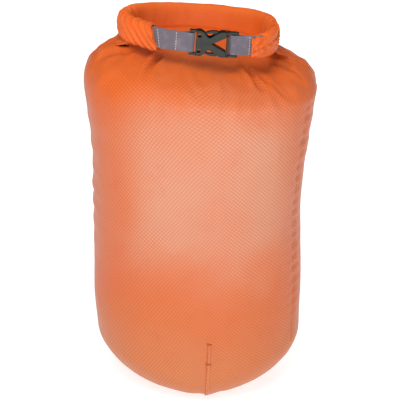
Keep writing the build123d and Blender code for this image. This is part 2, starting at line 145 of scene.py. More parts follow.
# (height, half width, half depth, squareness of the section)
STATIONS = (
    (0.000, 0.1030, 0.0900, 1.98),
    (0.050, 0.1066, 0.0905, 2.08),
    (0.095, 0.1073, 0.0900, 2.22),
    (0.150, 0.1063, 0.0890, 2.35),
    (0.200, 0.1052, 0.0880, 2.40),
    (0.235, 0.1055, 0.0870, 2.45),
    (0.270, 0.1089, 0.0858, 2.50),
    (0.292, 0.1120, 0.0848, 2.55),
    (0.317, 0.1142, 0.0840, 2.60),
)
FLOOR_SHARE, EDGE_SHARE, WALL_SHARE = 0.07, 0.20, 0.70
BODY_COLUMNS, BODY_ROWS = 360, 160
ANGLE_STEPS = 720

# ---- wrinkles of the body ----
BROAD_DEEP, UPRIGHT_DEEP, FINE_DEEP, GATHER_DEEP = 0.0022, 0.0011, 0.0007, 0.0016
PUCKER_PITCH, PUCKER_DEEP, PUCKER_FADE = 0.0125, 0.0011, 0.010
SEAM_VALLEY, SEAM_VALLEY_WIDE = 0.0012, 0.005
LEFT_PUCKER_U, LEFT_PUCKER_HEIGHT = 0.53, 0.21
LEFT_PUCKER_PITCH, LEFT_PUCKER_DEEP = 0.021, 0.0009
LEFT_PUCKER_WIDE, LEFT_PUCKER_TALL = 0.022, 0.05
PINCH_OUT, PINCH_FADE = 0.0028, 0.024
PINCH_HOLLOW, PINCH_HOLLOW_GAP, PINCH_HOLLOW_WIDE = 0.0010, 0.010, 0.006

# ---- seams ----
SEAM_U = 0.93  # where the side seam runs, as a share of the way round from the right by the rear
SIDE_SEAM_LOW, SIDE_SEAM_HIGH, SIDE_SEAM_LONG = 0.040, 0.330, 0.29
BASE_SEAM_X = 0.0095
BASE_SEAM_SKEW = 0.004
BASE_SEAM_TURN = math.radians(118)
BASE_SEAM_LONG = 0.11
BASE_SEAM_CENTRE = (0.045, 0.050)  # (forward or back, up) of the point that the seam bends round
SEAM_REACH = 0.2
SIDE_FELL, SIDE_FELL_RISE = 0.0060, 0.0007
BASE_FELL, BASE_FELL_RISE = 0.0042, 0.0013
FELL_CELLS = 10
FELL_SINK = 0.0002
THREAD_MARGIN = 0.02
FILM_WIDE, FILM_INSET = 0.019, 0.0012


def smooth(value, low, high):
    share = min(1.0, max(0.0, (value - low) / (high - low)))
    return share * share * (3 - 2 * share)


def mix(a, b, share):
    return a + (b - a) * share


def bell(value, width):
    return math.exp(-((value / width) ** 2))


def ridged(place, seed=0.0):
    """Noise with sharp crests, from 0 to 1."""
    return 1 - min(1.0, abs(noise.noise(place + Vector((seed, seed * 1.7, -seed)))) * 2)


def rounded_square(angle, squareness):
    """A point on a closed curve between a circle (2) and a square, with half sides of 1."""
    power = 2 / squareness
    across = math.copysign(abs(math.cos(angle)) ** power, math.cos(angle))
    up = math.copysign(abs(math.sin(angle)) ** power, math.sin(angle))
    return across, up


def station(height):
    """Half width, half depth and squareness of the body at a height."""
    for low, high in zip(STATIONS, STATIONS[1:]):
        if height <= high[0]:
            break
    share = smooth(height, low[0], high[0])
    return tuple(mix(a, b, share) for a, b in zip(low[1:], high[1:]))


def ring_point(along):
    """Where the ring's line is at a distance from its rear's middle, leftwards, and its heading."""
    side = 1 if along >= 0 else -1
    left = abs(along)
    spot = Vector((0.0, REAR_Y))
    heading = math.pi if side > 0 else 0.0
    for length, turn in LEFT_STRETCHES if side > 0 else RIGHT_STRETCHES:
        step = min(left, length)
        bend = side * turn * step / length
        chord = step * (math.sin(bend / 2) / (bend / 2) if abs(bend) > 1e-9 else 1.0)
        middle = heading + bend / 2
        spot += Vector((math.cos(middle), math.sin(middle))) * chord
        heading += bend
        left -= step
        if left <= 0:
            break
    return spot, Vector((math.cos(heading), math.sin(heading))) * side


def ring_place(along, outward, up):
    """A point of the ring's frame, in the bag's frame."""
    spot, heading = ring_point(along)
    away = Vector((heading.y, -heading.x))
    spot = spot + away * outward
    return RING @ Vector((spot.x, spot.y, up))


# ---- mesh helpers ----
def grid_piece(name, columns, rows, place, flat, material, close=True):
    """A grid of cloth: place(u, v) puts each corner, and flat(u, v) is the same corner of the flat cloth."""
    bm = bmesh.new()
    bmesh.ops.create_grid(bm, x_segments=columns, y_segments=rows, size=0.5)
    uv = bm.loops.layers.uv.new("cloth")
    for face in bm.faces:
        for loop in face.loops:
            corner = loop.vert.co
            loop[uv].uv = flat(corner.x + 0.5, corner.y + 0.5)
    for vert in bm.verts:
        vert.co = place(vert.co.x + 0.5, vert.co.y + 0.5)
    if close:
        bmesh.ops.remove_doubles(bm, verts=bm.verts, dist=1e-6)
    return finished(name, bm, material)


def finished(name, bm, material):
    """A smooth object of a bmesh, with its faces turned outwards."""
    bmesh.ops.recalc_face_normals(bm, faces=bm.faces)
    mesh = bpy.data.meshes.new(name)
    bm.to_mesh(mesh)
    bm.free()
    for polygon in mesh.polygons:
        polygon.use_smooth = True
    piece = bpy.data.objects.new(name, mesh)
    bpy.context.scene.collection.objects.link(piece)
    mesh.materials.append(material)
    return piece


def thicken(piece, thickness):
    """Gives a sheet half its thickness on each side."""
    solid = piece.modifiers.new("thickness", "SOLIDIFY")
    solid.thickness = thickness
    solid.offset = 0.0
    solid.use_even_offset = False
    return piece


def apply_modifiers(piece):
    bpy.context.view_layer.update()
    graph = bpy.context.evaluated_depsgraph_get()
    mesh = bpy.data.meshes.new_from_object(piece.evaluated_get(graph))
    piece.modifiers.clear()
    piece.data = mesh
    return piece


# ---- shader maths ----
class Value:
    """Wraps a socket, so that an expression on values adds its maths nodes."""

    def __init__(self, tree, socket):
        self.tree = tree
        self.socket = socket

    def node(self, kind, settings=None, **sockets):
        return add_node(self.tree, kind, settings, **sockets)

    def math(self, operation, *others):
        made = self.tree.nodes.new("ShaderNodeMath")
        made.operation = operation
        for slot, entry in zip(made.inputs, (self, *others)):
            plug(self.tree, slot, entry)
        return Value(self.tree, made.outputs[0])

    def __add__(self, other):
        return self.math("ADD", other)

    __radd__ = __add__

    def __mul__(self, other):
        return self.math("MULTIPLY", other)

    __rmul__ = __mul__

    def __sub__(self, other):
        return self.math("SUBTRACT", other)

    def __rsub__(self, other):
        return (self * -1) + other

    def __truediv__(self, other):
        return self.math("DIVIDE", other)

    def most(self, other):
        return self.math("MAXIMUM", other)


def plug(tree, slot, entry):
    if isinstance(entry, Value):
        tree.links.new(entry.socket, slot)
    elif isinstance(entry, bpy.types.NodeSocket):
        tree.links.new(entry, slot)
    else:
        slot.default_value = entry


def add_node(tree, kind, settings=None, **sockets):
    """A node of a kind, with its settings, and values or links by socket name (spaces as underscores)."""
    made = tree.nodes.new(kind)
    for name, setting in (settings or {}).items():
        setattr(made, name, setting)
    for name, entry in sockets.items():
        plug(tree, made.inputs[name.replace("_", " ")], entry)
    return made


def material(name, **constants):
    """A new material with a Principled shader, whose constant sockets are set directly."""
    made = bpy.data.materials.new(name)
    made.use_nodes = True
    shader = made.node_tree.nodes["Principled BSDF"]
    for key, entry in constants.items():
        shader.inputs[key.replace("_", " ")].default_value = entry
    return made, made.node_tree, shader


def noise_value(tree, scale, detail=3.0, rough=0.5):
    place = add_node(tree, "ShaderNodeTexCoord").outputs["Object"]
    made = add_node(tree, "ShaderNodeTexNoise", Vector=place, Scale=scale, Detail=detail, Roughness=rough)
    return Value(tree, made.outputs["Fac"])


def span(value, low, high, low_out=0.0, high_out=1.0):
    """Maps a value from one range to another and keeps it inside."""
    made = value.node(
        "ShaderNodeMapRange", {"interpolation_type": "SMOOTHSTEP"}, Value=value,
        From_Min=low, From_Max=high, To_Min=low_out, To_Max=high_out,
    )
    return Value(value.tree, made.outputs["Result"])


# the colour sockets of a Mix node share their names with its number sockets, so they go by place
MIX_FACTOR, MIX_FIRST, MIX_SECOND, MIX_RESULT = 0, 6, 7, 2


def blend_colors(tree, share, first, second):
    made = add_node(tree, "ShaderNodeMix", {"data_type": "RGBA"})
    plug(tree, made.inputs[MIX_FACTOR], share)
    plug(tree, made.inputs[MIX_FIRST], first)
    plug(tree, made.inputs[MIX_SECOND], second)
    return made.outputs[MIX_RESULT]


def bump(tree, height, strength, distance, normal=None):
    made = add_node(tree, "ShaderNodeBump", Strength=strength, Distance=distance, Height=height)
    if normal is not None:
        plug(tree, made.inputs["Normal"], normal)
    return made.outputs["Normal"]


def flat_axes(tree):
    """The two directions of the flat cloth, in metres."""
    flat = add_node(tree, "ShaderNodeUVMap", {"uv_map": "cloth"}).outputs[0]
    apart = add_node(tree, "ShaderNodeSeparateXYZ", Vector=flat)
    return Value(tree, apart.outputs["X"]), Value(tree, apart.outputs["Y"])


def line_mask(value, pitch, width):
    """1 on lines a pitch apart, fading to 0 over their width."""
    ramp = (value / pitch).math("PINGPONG", 0.5)
    return span(ramp, 0.0, width, 1.0, 0.0)


# ---- finishes ----
CLOTH_MID = (0.62, 0.112, 0.017, 1)
CLOTH_DEEP = (0.54, 0.082, 0.007, 1)
# painted sheen: this pale tone stands in for the front light's reflection on the broad faces
CLOTH_PAINTED_SHEEN = (0.60, 0.270, 0.165, 1)
# painted floor bounce: this warm tone stands in for light bouncing up from the floor onto the base
CLOTH_PAINTED_BOUNCE = (0.56, 0.190, 0.072, 1)
CLOTH_LINE = (0.34, 0.056, 0.010, 1)
ROLL_MID = (0.74, 0.128, 0.016, 1)
ROLL_DEEP = (0.58, 0.090, 0.009, 1)
RIP_PITCH = 0.0029  # between the thicker threads
RIP_TURNS = math.radians(39), math.radians(50.5)  # the two ways they run across the cloth
RIP_FADE = 0.17
WEAVE_PITCH = 0.00042
WEB_RIB = 0.0011
WEB_LIGHT = (0.185, 0.165, 0.20, 1)
WEB_DARK = (0.095, 0.082, 0.105, 1)
FILM_LIGHT, FILM_DARK = (0.8, 0.74, 0.68, 1), (0.62, 0.52, 0.44, 1)
BUCKLE_TONE = (0.013, 0.018, 0.014, 1)
WEB_THREAD_TONE = (0.66, 0.56, 0.50, 1)
SEAM_THREAD_TONE = (0.66, 0.20, 0.06, 1)
BASE_THREAD_TONE = (0.56, 0.075, 0.010, 1)


def scaled(tone, factor):
    """A lighter or a darker version of a colour."""
    return tuple(min(1, part * factor) for part in tone[:3]) + (1,)


def shell_cloth(name, tone_of, lines_share):
    """Coated ripstop: a satin face with a fine diamond grid of thicker threads."""
    made, tree, shader = material(name, Roughness=0.42, Sheen_Weight=0.03, Sheen_Roughness=0.4)
    shader.inputs["Specular IOR Level"].default_value = 0.36
    across, along = flat_axes(tree)
    down, up = RIP_TURNS
    first = line_mask(across * math.cos(down) - along * math.sin(down), RIP_PITCH, RIP_FADE)
    second = line_mask(across * math.cos(up) + along * math.sin(up), RIP_PITCH, RIP_FADE)
    lines = first.most(second)
    fine = noise_value(tree, 900, 2.0)
    creases = noise_value(tree, 55, 4.0, 0.6)
    color = tone_of(tree)
    color = blend_colors(tree, span(creases, 0.50, 0.75) * 0.14, color, CLOTH_DEEP)
    color = blend_colors(tree, lines * lines_share, color, CLOTH_LINE)
    plug(tree, shader.inputs["Base Color"], color)
    plug(tree, shader.inputs["Roughness"], 0.40 + creases * 0.10 + lines * 0.08)
    weave = line_mask(across, WEAVE_PITCH, 0.5) + line_mask(along, WEAVE_PITCH, 0.5)
    normal = bump(tree, lines + fine * 0.25 + weave * 0.1, 0.35, 0.00022)
    normal = bump(tree, creases, 0.18, 0.0012, normal)
    plug(tree, shader.inputs["Normal"], normal)
    return made


def painted_sheen_and_bounce_tone(tree):
    """Painted sheen and painted floor bounce: paler across the two broad faces and less so towards the sides
    and shoulders, where the front light's reflection lies, and warmer towards the base, where light bounces
    up from the floor.
    """
    place = add_node(tree, "ShaderNodeTexCoord").outputs["Object"]
    apart = add_node(tree, "ShaderNodeSeparateXYZ", Vector=place)
    aside = (Value(tree, apart.outputs["X"]) - 0.012).math("ABSOLUTE")
    height = Value(tree, apart.outputs["Z"])
    patches = noise_value(tree, 9, 2.0)
    drift = height + (patches - 0.5) * 0.10
    # painted sheen: paler on the broad faces between the base and the shoulder, less towards the sides
    pale = span(drift, 0.08, 0.19) * (1 - span(drift, 0.280, 0.345))
    pale = pale * (1 - span(aside + (patches - 0.5) * 0.05, 0.05, 0.10, 0.0, 0.72))
    color = blend_colors(tree, pale * span(patches, 0.25, 0.6, 0.6, 1.0), CLOTH_MID, CLOTH_PAINTED_SHEEN)
    # painted floor bounce: warmer towards the base
    return blend_colors(tree, span(drift, 0.02, 0.15, 0.85, 0.0), color, CLOTH_PAINTED_BOUNCE)


def even_tone(tree):
    """The roll's deeper orange, in soft patches."""
    return blend_colors(tree, span(noise_value(tree, 14, 2.0), 0.3, 0.7) * 0.6, ROLL_MID, ROLL_DEEP)


def hidden_axes(tree):
    """Two directions for a strip that has no flat map of its own: up, and to the right."""
    place = add_node(tree, "ShaderNodeTexCoord").outputs["Object"]
    apart = add_node(tree, "ShaderNodeSeparateXYZ", Vector=place)
    return Value(tree, apart.outputs["Z"]), Value(tree, apart.outputs["X"])


def webbing_cloth(name, axes=flat_axes):
    """Flat grey webbing: ribs crossed by warp threads, with some fuzz and a little wear."""
    made, tree, shader = material(name, Roughness=0.62, Sheen_Weight=0.3, Sheen_Roughness=0.5)
    across, along = axes(tree)
    rows = (along / WEB_RIB).math("PINGPONG", 0.5) * 2
    half = (across / (WEB_RIB * 1.1)).math("PINGPONG", 0.5) * 2
    weave = (rows - half).math("ABSOLUTE")
    fuzz = noise_value(tree, 1400, 3.0)
    wear = noise_value(tree, 130, 4.0)
    color = blend_colors(tree, span(weave, 0.1, 0.9), WEB_DARK, WEB_LIGHT)
    color = blend_colors(tree, span(wear, 0.45, 0.75) * 0.35, color, scaled(WEB_LIGHT, 1.5))
    plug(tree, shader.inputs["Base Color"], color)
    plug(tree, shader.inputs["Roughness"], 0.55 + fuzz * 0.25)
    plug(tree, shader.inputs["Normal"], bump(tree, weave + fuzz * 0.4, 0.7, 0.00028))
    return made


def plastic(name, tone):
    """Moulded acetal: a fine spark-eroded grain, a little worn where it is handled."""
    made, tree, shader = material(name, Roughness=0.45)
    shader.inputs["Specular IOR Level"].default_value = 0.35
    grain = noise_value(tree, 2600, 2.0)
    smudge = noise_value(tree, 160, 3.0)
    color = blend_colors(tree, span(smudge, 0.5, 0.8) * 0.5, tone, scaled(tone, 1.55))
    plug(tree, shader.inputs["Base Color"], color)
    plug(tree, shader.inputs["Roughness"], 0.36 + smudge * 0.22)
    plug(tree, shader.inputs["Normal"], bump(tree, grain, 0.25, 0.00008))
    return made


def thread_cloth(name, tone):
    """Twisted sewing thread."""
    made, tree, shader = material(name, Roughness=0.6, Sheen_Weight=0.08)
    twist = noise_value(tree, 2200, 2.0)
    plug(tree, shader.inputs["Base Color"], blend_colors(tree, twist, scaled(tone, 0.55), tone))
    plug(tree, shader.inputs["Normal"], bump(tree, twist, 0.5, 0.0001))
    return made


def tape_film(name):
    """The cloudy film of a sealing tape."""
    made, tree, shader = material(name, Roughness=0.35)
    cloud = noise_value(tree, 60, 4.0)
    color = blend_colors(tree, cloud, FILM_DARK, FILM_LIGHT)
    plug(tree, shader.inputs["Base Color"], color)
    plug(tree, shader.inputs["Roughness"], 0.28 + cloud * 0.2)
    return made


# the body's and the seams' colour holds painted sheen and painted floor bounce
SHELL = shell_cloth("shell_ripstop", painted_sheen_and_bounce_tone, 0.55)
ROLL_SHELL = shell_cloth("roll_ripstop", even_tone, 0.15)
SIDE_SEAM = shell_cloth("side_seam_ripstop", painted_sheen_and_bounce_tone, 0.3)
BASE_SEAM = shell_cloth("base_seam_ripstop", painted_sheen_and_bounce_tone, 0.15)
WEBBING = webbing_cloth("grey_webbing")
LIP_WEBBING = webbing_cloth("lip_webbing", hidden_axes)
BUCKLE = plastic("buckle_acetal", BUCKLE_TONE)
WEB_THREAD = thread_cloth("grey_thread", WEB_THREAD_TONE)
SEAM_THREAD = thread_cloth("orange_thread", SEAM_THREAD_TONE)
BASE_THREAD = thread_cloth("rust_thread", BASE_THREAD_TONE)
TAPE = tape_film("seam_film")


# ---- the body's cloth ----
def girth_table():
    """The share of the girth at each step of angle round the body's section, and the girth."""
    shape = station(SHOULDER / 2)
    points = [section_point(shape, math.tau * step / ANGLE_STEPS) for step in range(ANGLE_STEPS + 1)]
    lengths = [0.0]
    for a, b in zip(points, points[1:]):
        lengths.append(lengths[-1] + (b - a).length)
    return [length / lengths[-1] for length in lengths], lengths[-1]


def edge_round(angle):
    """The radius of the base's edge: large at the sides, tighter at the front and rear."""
    return mix(EDGE_ROUND_FRONT, EDGE_ROUND_SIDE, abs(math.cos(angle)) ** EDGE_ROUND_FADE)


def lean(height):
    """How far to the right the middle of the body stands at a height."""
    return LEAN - SWAY * bell(height - SWAY_HEIGHT, SWAY_TALL)


def section_point(shape, angle, inset=0.0):
    half_width, half_depth, squareness = shape
    across, back = rounded_square(angle, squareness)
    return Vector(((half_width - inset) * across, (half_depth - inset) * back))


SHARES, GIRTH = girth_table()


def angle_at(u):
    """The angle round the section after a share u of its girth."""
    low, high = 0, len(SHARES) - 1
    while high - low > 1:
        middle = (low + high) // 2
        if SHARES[middle] <= u:
            low = middle
        else:
            high = middle
    part = (u - SHARES[low]) / max(1e-12, SHARES[high] - SHARES[low])
    return math.tau * (low + part) / (len(SHARES) - 1)


def neck_point(u):
    """Where the neck meets the roll: the rear cloth outside the ring's line, the front cloth inside it."""
    if u <= 0.5:
        share, outward = u * 2, NECK_SPREAD
    else:
        share, outward = (1 - u) * 2, -NECK_SPREAD
    along = mix(NECK_RIGHT, NECK_LEFT, share)
    return ring_place(along, outward, NECK_TOP - RING_HEIGHT)


def body_place(u, v):
    """The smooth body: its floor, rounded edge, wall and shoulder, as shares of the way up the cloth."""
    u = u % 1.0
    angle = angle_at(u)
    radius = edge_round(angle)
    if v < FLOOR_SHARE:
        spot = section_point(station(0), angle, radius) * (v / FLOOR_SHARE)
        height = BASE_LIFT
    elif v < EDGE_SHARE:
        turn = QUARTER * (v - FLOOR_SHARE) / (EDGE_SHARE - FLOOR_SHARE)
        height = max(BASE_LIFT, radius * (1 - math.cos(turn)))
        spot = section_point(station(height), angle, radius * (1 - math.sin(turn)))
    elif v < WALL_SHARE:
        height = mix(radius, SHOULDER, (v - EDGE_SHARE) / (WALL_SHARE - EDGE_SHARE))
        spot = section_point(station(height), angle)
    else:
        return top_point(u, angle, (v - WALL_SHARE) / (1 - WALL_SHARE))
    return Vector((spot.x + lean(height) * min(1.0, v / FLOOR_SHARE), spot.y, height))


def top_point(u, angle, share):
    """The cloth over the shoulder, from the wall to the neck, on a curve that leaves and arrives upright."""
    spot = section_point(station(SHOULDER), angle)
    start = Vector((spot.x + lean(SHOULDER), spot.y, SHOULDER))
    end = neck_point(u)
    run = Vector((end.x - start.x, end.y - start.y, 0))
    right = smooth(start.x, -0.09, 0.10)
    rear = smooth(start.y, -0.01, 0.070)

    def here(three):
        return mix(mix(three[0], three[1], right), three[2], rear)

    first = start + Vector((0, 0, here(SHOULDER_RISE))) + run * here(SHOULDER_PULL)
    second = end - run * here(NECK_PULL) - Vector((0, 0, here(NECK_FALL)))
    third = end - Vector((0, 0, NECK_UPRIGHT))
    points = [start, first, second, third, end]
    while len(points) > 1:
        points = [a.lerp(b, share) for a, b in zip(points, points[1:])]
    return points[0]


def flat_body():
    """Lengths along each column of the body's grid, from the base, so that the weave keeps its size."""
    lengths = []
    for column in range(BODY_COLUMNS + 1):
        total, last, line = 0.0, None, []
        for row in range(BODY_ROWS + 1):
            spot = body_place(column / BODY_COLUMNS, row / BODY_ROWS)
            if last is not None:
                total += (spot - last).length
            line.append(total)
            last = spot
        lengths.append(line)
    return lengths


def fold_depth(spot, start, end, width):
    """How deep a point lies in a crease from start to end, and how high on its crests, from above."""
    run = end - start
    share = (spot - start).dot(run) / run.length_squared
    if not -0.1 < share < 1.1:
        return 0.0, 0.0
    away = spot - (start + run * share)
    fade = smooth(share, -0.1, 0.1) * (1 - smooth(share, 0.35, 1.1))
    side = 1.0 if away.cross(run) > 0 else 0.45
    return bell(away.length, width) * fade, bell(away.length - 2.2 * width, width * 1.2) * fade * 0.7 * side


# (start, end, width, depth) of the creases that run out from the ring over the shoulders
CREASES = (
    (Vector((-0.038, -0.028)), Vector((-0.054, -0.064)), 0.0024, 0.0044),
    (Vector((0.043, -0.028)), Vector((0.062, -0.064)), 0.0024, 0.0042),
    (Vector((0.052, -0.036)), Vector((0.080, -0.060)), 0.0020, 0.0016),
    (Vector((-0.060, -0.022)), Vector((-0.106, -0.034)), 0.0030, 0.0022),
    (Vector((-0.070, 0.000)), Vector((-0.112, -0.004)), 0.0028, 0.0018),
    (Vector((0.070, -0.016)), Vector((0.106, -0.032)), 0.0028, 0.0024),
    (Vector((0.074, 0.010)), Vector((0.112, 0.004)), 0.0026, 0.0020),
    (Vector((-0.030, 0.050)), Vector((-0.046, 0.086)), 0.0028, 0.0024),
    (Vector((0.020, 0.050)), Vector((0.034, 0.086)), 0.0028, 0.0024),
    (Vector((0.052, 0.036)), Vector((0.086, 0.066)), 0.0028, 0.0024),
    (Vector((-0.060, 0.032)), Vector((-0.094, 0.060)), 0.0028, 0.0024),
)


def wrinkle(u, v, spot):
    """How far the cloth stands out of the smooth shape."""
    seam_gap = (u - SEAM_U) * GIRTH
    height = spot.z
    wall = smooth(v, EDGE_SHARE - 0.06, EDGE_SHARE + 0.03)
    top = smooth(v, WALL_SHARE - 0.06, WALL_SHARE + 0.06)
    floor = smooth(v, FLOOR_SHARE, FLOOR_SHARE + 0.07)
    broad = noise.noise(spot * 11) * BROAD_DEEP
    upright = noise.noise(Vector((spot.x * 26, spot.y * 26, height * 6 + 4))) * UPRIGHT_DEEP
    fine = (ridged(Vector((spot.x * 45, spot.y * 45, height * 30)), 3.0) - 0.55) * FINE_DEEP
    gathered = (ridged(Vector((spot.x * 60, spot.y * 60, height * 22)), 7.0) - 0.5) * GATHER_DEEP * top
    out = (broad + upright) * wall + fine * floor * (0.5 + top) + gathered
    pucker = math.sin(height * math.tau / PUCKER_PITCH + 2.4 * noise.noise(Vector((0, 0, height * 40))))
    seam_run = smooth(height, 0.05, 0.12) * (1 - smooth(height, 0.315, 0.335))
    out += pucker * PUCKER_DEEP * math.exp(-abs(seam_gap) / PUCKER_FADE) * seam_run
    out -= SEAM_VALLEY * bell(seam_gap, SEAM_VALLEY_WIDE) * seam_run
    left_gap = (u - LEFT_PUCKER_U) * GIRTH
    left_wander = 3 * noise.noise(Vector((5, 0, height * 30)))
    left_pucker = math.sin(height * math.tau / LEFT_PUCKER_PITCH + left_wander)
    left_reach = bell(left_gap, LEFT_PUCKER_WIDE) * bell(height - LEFT_PUCKER_HEIGHT, LEFT_PUCKER_TALL)
    out += left_pucker * LEFT_PUCKER_DEEP * left_reach
    for start, end, width, depth in CREASES:
        valley, crest = fold_depth(spot.xy, start, end, width)
        out += depth * (crest - valley) * top
    return out + base_pinch(spot) * floor


def base_pinch(spot):
    """The base seam pulls its ends into a soft point."""
    gap = spot.x - BASE_SEAM_X
    low = 1 - smooth(spot.z, 0.03, 0.09)
    point = PINCH_OUT * math.exp(-abs(gap) / PINCH_FADE)
    return (point - PINCH_HOLLOW * bell(abs(gap) - PINCH_HOLLOW_GAP, PINCH_HOLLOW_WIDE)) * low


def shape_body():
    """The body's cloth: the smooth shape, then each point moved out or in by the wrinkles."""
    lengths = flat_body()

    def flat(u, v):
        column, row = round(u * BODY_COLUMNS), round(v * BODY_ROWS)
        return u * GIRTH, lengths[column][row]

    params = {}

    def place(u, v):
        spot = body_place(u, v)
        params[(round(u * BODY_COLUMNS) % BODY_COLUMNS, round(v * BODY_ROWS))] = spot
        return spot

    piece = grid_piece("bag_cloth", BODY_COLUMNS, BODY_ROWS, place, flat, SHELL)
    finder = {}
    for (column, row), spot in params.items():
        finder[tuple(round(c, 6) for c in spot)] = (column / BODY_COLUMNS, row / BODY_ROWS)
    mesh = piece.data
    normals = [vert.normal.copy() for vert in mesh.vertices]
    for vert, normal in zip(mesh.vertices, normals):
        u, v = finder.get(tuple(round(c, 6) for c in vert.co), (0, 0))
        fade = 1 - smooth(v, 0.97, 1.0)
        vert.co += normal * wrinkle(u, v, vert.co) * fade
        vert.co.z = max(vert.co.z, 0.0)
    mesh.update()
    return piece


body_cloth = shape_body()
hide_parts("body_panel", "neck_front", "neck_rear")


# ---- the rolled mouth ----
def spiral(part):
    """(outward, up) of the rolled part after a share of its length."""
    swept = part * ROLL_TURNS
    loss = ROLL_LAYER * swept
    across, up = rounded_square(SPIRAL_START - swept * math.tau, SPIRAL_SQUARENESS)
    return across * (ROLL_HALF_THICK - loss), up * (ROLL_HALF_TALL - loss * SPIRAL_FLATTEN)


def roll_section(turn, skirt):
    """(outward, up) of the cloth after a share of its length: the skirt, then the spiral."""
    if turn >= SKIRT_SHARE:
        return spiral((turn - SKIRT_SHARE) / (1 - SKIRT_SHARE))
    share = turn / SKIRT_SHARE
    outward, up = spiral(0)
    lowest = mix(-ROLL_HALF_TALL * 0.8, -ROLL_HALF_TALL - SKIRT, skirt)
    return outward * mix(0.1, 1.0, smooth(share, -0.2, 0.9)), mix(lowest, up, share)


def spiral_share(v):
    """Most rows of the grid go to the outer turn, which shows."""
    outer = SKIRT_SHARE + (1 - SKIRT_SHARE) * 1.05 / ROLL_TURNS
    if v < OUTER_ROWS:
        return outer * v / OUTER_ROWS
    return mix(outer, 1.0, (v - OUTER_ROWS) / (1 - OUTER_ROWS))


def roll_lengths():
    """The length of the flat cloth at each row of the spiral."""
    spots = [Vector(roll_section(spiral_share(row / ROLL_ROWS), 1.0)) for row in range(ROLL_ROWS + 1)]
    lengths = [0.0]
    for a, b in zip(spots, spots[1:]):
        lengths.append(lengths[-1] + (b - a).length)
    return lengths


def lapped(phase):
    """A fold that rises slowly and falls back under the next one, from 0 to 1."""
    part = phase - math.floor(phase)
    return smooth(part, 0.0, 0.72) * (1 - smooth(part, 0.76, 1.0))


def twist_folds(along, outward, up):
    """Folds that wind round the arms and the bends of the roll."""
    left_arm = smooth(along, 0.062, 0.105)
    right_arm = smooth(-along, 0.075, 0.112)
    rear = 1 - left_arm - right_arm
    around = outward / ROLL_HALF_THICK
    wobble = noise.noise(Vector((along * 38, up * 40, 2.0)))
    if along > 0:
        phase = (along + 0.70 * up) / FOLD_PITCH_LEFT + 0.7 * wobble + 0.2 * around
    else:
        phase = (1.1 * up - 0.9 * along) / FOLD_PITCH_RIGHT + 1.3 * wobble + 0.5 * around
    deep = 0.75 + 0.9 * noise.noise(Vector((along * 60, up * 50, 9.0)))
    fine = lapped(phase * 2.3 + 0.4 + wobble * 2) - 0.4
    folds = (lapped(phase) - 0.45) * FOLD_DEEP * deep + fine * FINE_FOLD_DEEP
    arms = folds * (left_arm + RIGHT_ARM_FOLDS * right_arm)
    if outward < 0:
        for place in PINCHES:
            crest = PINCH_CREST * bell(along - place - PINCH_CREST_GAP, PINCH_CREST_WIDE)
            arms -= PINCH_DEEP * bell(along - place, PINCH_WIDE) - crest
    loose = noise.noise(Vector((along * 24, around * 0.8, 7.0))) * mix(0.0013, 0.0006, rear)
    slack = (ridged(Vector((along * 60, around * 0.45, up * 14)), 5.0) - 0.5) * 0.0006 * rear
    return arms + loose + slack


def roll_place(u, v):
    """The roll's cloth: the spiral swept along the ring, folded, squeezed and dropped towards its ends."""
    along = mix(-RIGHT_END, LEFT_END, u)
    skirt = (1 - smooth(along, 0.105, 0.128)) * (1 - smooth(-along, 0.085, 0.108))
    turn = spiral_share(v)
    outward, up = roll_section(turn, skirt)
    girth = 1 - 0.06 * bell(along - 0.095, 0.02) - 0.05 * bell(along + 0.1, 0.02)
    squeeze = 1 - 0.10 * bell(along, 0.07) - 0.08 * smooth(along, 0.06, 0.10)
    squeeze -= 0.30 * smooth(-along, RIGHT_END - 0.034, RIGHT_END)
    drop = -LEFT_DROP * smooth(along, 0.08, LEFT_END)
    drop -= RIGHT_DROP * smooth(-along, RIGHT_END - 0.03, RIGHT_END)
    layer = 1 - 0.6 * turn
    swell = twist_folds(along, outward, up) * layer
    reach = math.hypot(outward, up) or 1.0
    outward += swell * outward / reach
    up += swell * up / reach
    if turn < SKIRT_SHARE:
        girth = mix(1.0, girth, turn / SKIRT_SHARE)
    slant = -ARM_END_SLANT * up / ROLL_HALF_TALL * smooth(along, 0.12, LEFT_END)
    return ring_place(along + slant, outward * girth, up * girth * squeeze + drop)


def shape_roll():
    long = RIGHT_END + LEFT_END
    tall = roll_lengths()
    piece = grid_piece(
        "rolled_mouth", ROLL_COLUMNS, ROLL_ROWS, roll_place,
        lambda u, v: (u * long, tall[round(v * ROLL_ROWS)]), ROLL_SHELL, close=False,
    )
    return apply_modifiers(thicken(piece, ROLL_CLOTH))


rolled_mouth = shape_roll()
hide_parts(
    "roll_rear", "roll_left_bend", "roll_left_arm", "roll_right_side", "roll_right_bend", "roll_right_arm",
)


# ---- webbing ----
def loop_path(bar_x, from_left, arm_end, nose=0.0):
    """A tab's webbing in the ring's plane: along its front, round the bar and back along the inside."""
    side = 1 if from_left else -1
    path = []
    start = arm_end - WEB_HIDDEN
    line = []
    for step in range(LINE_STEPS + 1):
        along = mix(start, start + WEB_REACH, step / LINE_STEPS) * side
        spot, heading = ring_point(along)
        if (spot.x - (bar_x - side * WEB_STOP)) * side > 0:
            break
        line.append((spot, Vector((heading.y, -heading.x))))
    for spot, away in line:
        path.append(spot + away * WEB_SPREAD)
    centre = Vector((bar_x + nose, line[-1][0].y))
    for step in range(WRAP_STEPS + 1):
        angle = -QUARTER + math.pi * step / WRAP_STEPS
        path.append(centre + Vector((math.cos(angle) * side, math.sin(angle))) * BAR_WRAP)
    for spot, away in reversed(line):
        path.append(spot - away * WEB_SPREAD)
    return path


